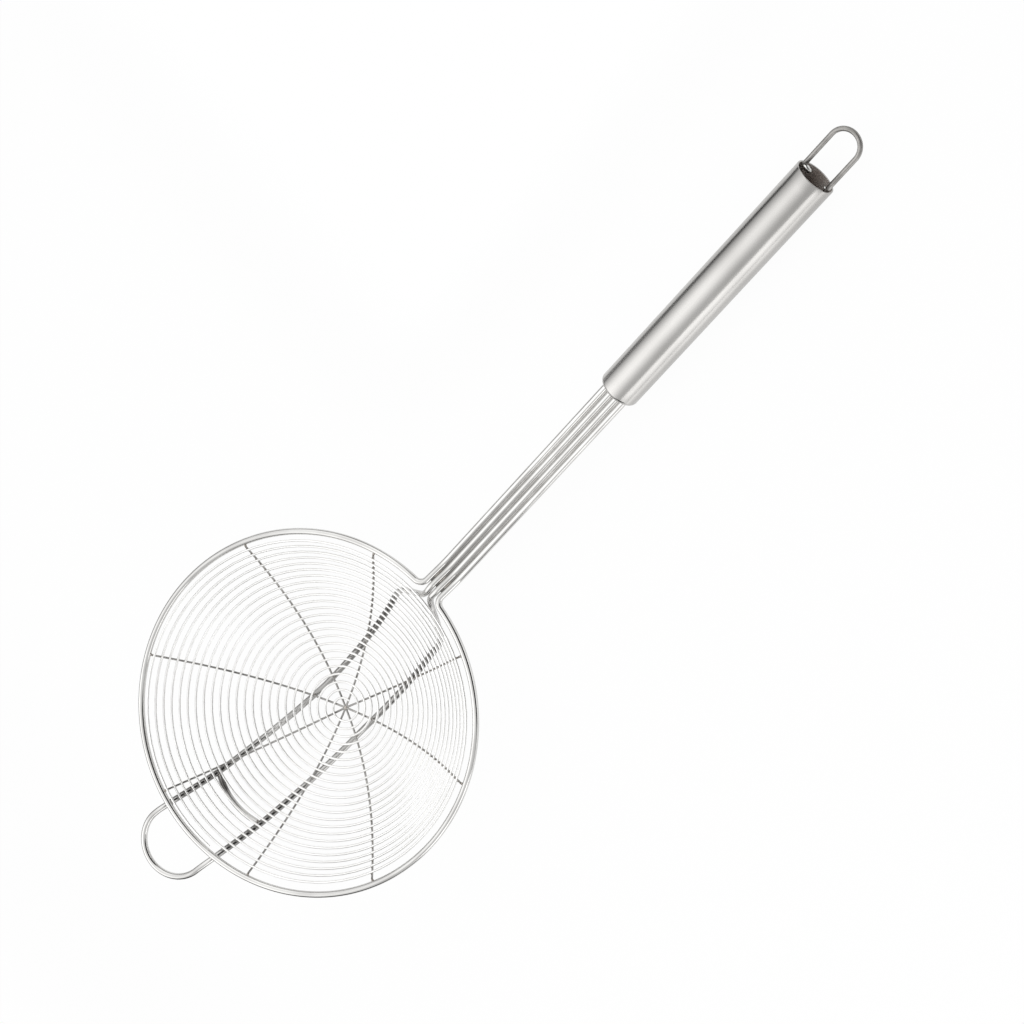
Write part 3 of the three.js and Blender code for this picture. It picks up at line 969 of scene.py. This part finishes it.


# %% Steel of the cradle and the seams
# Painted shade: the cradle wire is darkened on the stretch where it runs under the basket.
RAIL_GREY = (
    (26, 0.0),
    (34, 0.7),
    (60, 0.65),
    (80, 0.3),
    (110, 0.35),
    (130, 0.75),
    (162, 0.9),
    (174, 0.1),
)
SEAM_GREY = ((40, 0.0), (85, 0.5), (110, 0.9))
BRACE_GREY = ((0, 0.5), (3, 0.95), (6, 0.95), (9, 0.25), (22, 0.1))

cradle_steel = frame_steel.copy()
cradle_steel.name = "cradle_wire_painted_shade"
cradle_middle = max(corner.uv.x for corner in cradle.data.uv_layers[0].data) / 2
grey_stretch(cradle_steel, cradle_middle, RAIL_GREY)
cradle.data.materials.append(cradle_steel)
brace_steel = frame_steel.copy()
brace_steel.name = "brace_wire_darker_end"
grey_stretch(brace_steel, 0.0, BRACE_GREY)
brace.data.materials.append(brace_steel)
grey_stretch(seam_steel, 0.0, SEAM_GREY)
print("middle of the cradle wire in mm:", round(cradle_middle, 1))

# %% [markdown]
# ## Satin steel
# The tube was rubbed along its length with a fine belt. Its marks are long hairlines, so the noise is
# stretched along the tube's axis on Object coordinates, turned to the tube's slope. Inside, the tube was
# never polished, and keeps a brown scale that covers most of the metal.

# %% Steel of the handle
satin_steel = new_steel(
    "satin_sleeve",
    tones=((0.485, 0.475, 0.46), (0.55, 0.54, 0.525)),
    roughness=(0.18, 0.26),
    bump=0.06,
    patch_scale=28.0,
    grain_scale=(25.0, 1600.0, 1600.0),
    grain="Object",
)
satin_grain = satin_steel.node_tree.nodes["grain_stretch"]
satin_grain.inputs["Rotation"].default_value = (0, rise - LYING_ANGLE, 0)
bore_steel = new_steel(
    "scaled_bore",
    tones=((0.33, 0.275, 0.245), (0.46, 0.42, 0.39)),
    roughness=(0.45, 0.6),
    bump=0.1,
    patch_scale=120.0,
    grain_scale=(60.0, 500.0, 500.0),
    grain="Object",
    metallic=0.3,
)
sleeve.material_slots[OUTER_SKIN].material = satin_steel
sleeve.material_slots[INNER_SKIN].material = bore_steel
inner_faces = [face for face in sleeve.data.polygons if face.material_index == INNER_SKIN]
print("faces of the bore:", len(inner_faces), "of", len(sleeve.data.polygons))
print("materials:", [material.name for material in bpy.data.materials if material.users])

# %% [markdown]
# ## The studio
# The skimmer lies on a plain white table in a tent of white cloth. Steel shows what is around it, so the
# tent matters as much as the lamp. Its glowing top gives the wires their light cores, and its dark hem near
# the table draws thin dark edges. It is open, and so dark, on the side from which it is looked into, and it
# has a gap beyond the hook. The table is in shade far out and in one corner, left of the handle. The camera
# still sees it white there, but the handle mirrors the corner as a dark edge. At the right of the handle
# stands a lamp panel, and the strip of table before it is mirrored as a light band.

# %% White table
TABLE_SIZE = 6.0

bpy.ops.object.select_all(action="DESELECT")
table_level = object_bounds()[0].z
bpy.ops.mesh.primitive_plane_add(size=TABLE_SIZE)
table = bpy.context.object
table.name = "table_top"
bpy.ops.object.mode_set(mode="EDIT")
bpy.ops.transform.translate(value=(0, 0, table_level))
bpy.ops.object.mode_set(mode="OBJECT")
print("table level in mm:", round(table_level / MM, 2))


# %% Steps and fades made of nodes
def soft_step(tree, value, reach):
    """Goes softly from 0 to 1 while a value passes from the first to the second end of a reach."""
    step = tree.nodes.new("ShaderNodeMapRange")
    step.interpolation_type = "SMOOTHSTEP"
    step.inputs["From Min"].default_value = reach[0]
    step.inputs["From Max"].default_value = reach[1]
    tree.links.new(value, step.inputs["Value"])
    return step.outputs["Result"]


def combine(tree, operation, first, second):
    """A Math node on two values."""
    both = tree.nodes.new("ShaderNodeMath")
    both.operation = operation
    tree.links.new(first, both.inputs[0])
    tree.links.new(second, both.inputs[1])
    return both.outputs["Value"]


def fade(tree, share, start, end):
    """A value that goes from a start to an end while a share goes from 0 to 1."""
    ramp = tree.nodes.new("ShaderNodeMapRange")
    ramp.inputs["To Min"].default_value = start
    ramp.inputs["To Max"].default_value = end
    tree.links.new(share, ramp.inputs["Value"])
    return ramp.outputs["Result"]


# %% Light and shade of the table
CORNER_X = (-0.05, 0.03)
CORNER_Y = (0.035, 0.085)
STRIP_X = (-0.03, 0.05)
STRIP_Y = (-0.02, -0.07)
TABLE_EDGE = (0.22, 0.45)
TABLE_WHITE = 0.88
TABLE_DARK = 0.05
GLOW_IN_LIGHT = 0.96
GLOSSY_GLOW = 0.6
STRIP_GLOW = 0.9

white = bpy.data.materials.new("white_table")
white.use_nodes = True
tree = white.node_tree
tree.nodes.clear()
places = tree.nodes.new("ShaderNodeTexCoord")
axes = tree.nodes.new("ShaderNodeSeparateXYZ")
far_out = tree.nodes.new("ShaderNodeVectorMath")
far_out.operation = "LENGTH"
tree.links.new(places.outputs["Object"], axes.inputs["Vector"])
tree.links.new(places.outputs["Object"], far_out.inputs[0])
corner_x = soft_step(tree, axes.outputs["X"], CORNER_X)
corner = combine(tree, "MULTIPLY", corner_x, soft_step(tree, axes.outputs["Y"], CORNER_Y))
strip_x = soft_step(tree, axes.outputs["X"], STRIP_X)
strip = combine(tree, "MULTIPLY", strip_x, soft_step(tree, axes.outputs["Y"], STRIP_Y))
dark = combine(tree, "MAXIMUM", corner, soft_step(tree, far_out.outputs["Value"], TABLE_EDGE))
shade = combine(tree, "SUBTRACT", dark, strip)
rays = tree.nodes.new("ShaderNodeLightPath")
paper = tree.nodes.new("ShaderNodeBsdfDiffuse")
tree.links.new(fade(tree, shade, TABLE_WHITE, TABLE_DARK), paper.inputs["Color"])
glow = tree.nodes.new("ShaderNodeEmission")
mirrored_strip = combine(tree, "MULTIPLY", strip, rays.outputs["Is Glossy Ray"])
tree.links.new(fade(tree, mirrored_strip, 1.0, 1.0 + STRIP_GLOW), glow.inputs["Strength"])
seen = combine(tree, "MAXIMUM", rays.outputs["Is Camera Ray"], rays.outputs["Is Transmission Ray"])
seen_glow = combine(tree, "MULTIPLY", seen, fade(tree, shade, GLOW_IN_LIGHT, 1.0))
mirrored = fade(tree, shade, GLOSSY_GLOW, 0.0)
mirrored_glow = combine(tree, "MULTIPLY", rays.outputs["Is Glossy Ray"], mirrored)
mix = tree.nodes.new("ShaderNodeMixShader")
surface = tree.nodes.new("ShaderNodeOutputMaterial")
tree.links.new(combine(tree, "MAXIMUM", seen_glow, mirrored_glow), mix.inputs["Fac"])
tree.links.new(paper.outputs["BSDF"], mix.inputs[1])
tree.links.new(glow.outputs["Emission"], mix.inputs[2])
tree.links.new(mix.outputs["Shader"], surface.inputs["Surface"])
table.data.materials.append(white)
print("nodes of the table:", len(tree.nodes))

# %% Side panel
SIDE_PLACE = Vector((-0.09, -0.5, 0.165))
SIDE_AIM = Vector((0.0, 0.0, 0.12))
SIDE_SIZE = (0.36, 0.33)
SIDE_BRIGHTNESS = 1.15

bpy.ops.object.light_add(type="AREA", location=SIDE_PLACE)
panel = bpy.context.object
panel.name = "side_panel"
panel.rotation_euler = (SIDE_AIM - SIDE_PLACE).to_track_quat("-Z", "Y").to_euler()
panel.visible_camera = False
panel.data.shape = "RECTANGLE"
panel.data.size = SIDE_SIZE[0]
panel.data.size_y = SIDE_SIZE[1]
# With this energy the panel's face is as bright as a white card at that brightness.
panel.data.energy = SIDE_BRIGHTNESS * math.pi * SIDE_SIZE[0] * SIDE_SIZE[1]
print("side panel is m away:", round((SIDE_PLACE - SIDE_AIM).length, 2))

# %% An unlit tent, and a glow from one side of it
GLOW_POWER = 2.0

room = bpy.data.worlds.new("studio_tent")
bpy.context.scene.world = room
room.use_nodes = True
tree = room.node_tree
tree.nodes.clear()
tent_ways = tree.nodes.new("ShaderNodeTexCoord")


def add_room_glow(light_so_far, way, reach, brightness):
    """Adds light from one way in the tent, which fades out softly at an angle in degrees from it."""
    towards = tree.nodes.new("ShaderNodeVectorMath")
    towards.operation = "DOT_PRODUCT"
    towards.inputs[1].default_value = way.normalized()
    nearness = tree.nodes.new("ShaderNodeMapRange")
    nearness.inputs["From Min"].default_value = math.cos(math.radians(reach))
    nearness.inputs["From Max"].default_value = 1.0
    soft = tree.nodes.new("ShaderNodeMath")
    soft.operation = "POWER"
    soft.inputs[1].default_value = GLOW_POWER
    both = tree.nodes.new("ShaderNodeMath")
    both.operation = "MULTIPLY_ADD"
    both.inputs[1].default_value = brightness
    tree.links.new(tent_ways.outputs["Generated"], towards.inputs[0])
    tree.links.new(towards.outputs["Value"], nearness.inputs["Value"])
    tree.links.new(nearness.outputs["Result"], soft.inputs[0])
    tree.links.new(soft.outputs["Value"], both.inputs[0])
    tree.links.new(light_so_far, both.inputs[2])
    return both.outputs["Value"]


# %% Bright tent
TENT_STOPS = ((0.0, 0.0), (0.06, 0.14), (0.13, 0.42), (0.26, 0.66), (0.45, 0.7), (1.0, 0.7))
CEILING_WAY = Vector((-0.62, 0.25, 0.74))
CEILING_REACH = 52.0
CEILING_BRIGHTNESS = 1.15
FILL_WAY = Vector((0.72, 0.45, 0.53))
FILL_REACH = 80.0
FILL_BRIGHTNESS = 0.74
OPENING_WAY = Vector((0.96, -0.2, 0.32))
OPENING_REACH = 44.0
OPENING_BRIGHTNESS = -3.2
GAP_WAY = Vector((-0.845, -0.53, 0.08))
GAP_REACH = 36.0
GAP_BRIGHTNESS = -1.4
DARKEST = 0.06
WHITE = (1, 1, 1, 1)

heights = tree.nodes.new("ShaderNodeSeparateXYZ")
tent = tree.nodes.new("ShaderNodeValToRGB")
set_stops(tent.color_ramp, TENT_STOPS)
tree.links.new(tent_ways.outputs["Generated"], heights.inputs["Vector"])
tree.links.new(heights.outputs["Z"], tent.inputs["Fac"])
tent_light = tent.outputs["Color"]
tent_light = add_room_glow(tent_light, CEILING_WAY, CEILING_REACH, CEILING_BRIGHTNESS)
tent_light = add_room_glow(tent_light, FILL_WAY, FILL_REACH, FILL_BRIGHTNESS)
tent_light = add_room_glow(tent_light, OPENING_WAY, OPENING_REACH, OPENING_BRIGHTNESS)
tent_light = add_room_glow(tent_light, GAP_WAY, GAP_REACH, GAP_BRIGHTNESS)
floor_of_light = tree.nodes.new("ShaderNodeMath")
floor_of_light.operation = "MAXIMUM"
floor_of_light.inputs[1].default_value = DARKEST
light = tree.nodes.new("ShaderNodeBackground")
light.inputs["Color"].default_value = WHITE
backdrop = tree.nodes.new("ShaderNodeBackground")
backdrop.inputs["Color"].default_value = WHITE
rays = tree.nodes.new("ShaderNodeLightPath")
mix = tree.nodes.new("ShaderNodeMixShader")
sky = tree.nodes.new("ShaderNodeOutputWorld")
tree.links.new(tent_light, floor_of_light.inputs[0])
tree.links.new(floor_of_light.outputs["Value"], light.inputs["Strength"])
tree.links.new(rays.outputs["Is Camera Ray"], mix.inputs["Fac"])
tree.links.new(light.outputs["Background"], mix.inputs[1])
tree.links.new(backdrop.outputs["Background"], mix.inputs[2])
tree.links.new(mix.outputs["Shader"], sky.inputs["Surface"])
bpy.context.scene.view_settings.view_transform = "Standard"
print("nodes of the tent:", len(tree.nodes))

# %% Finish
bpy.ops.object.select_all(action="DESELECT")
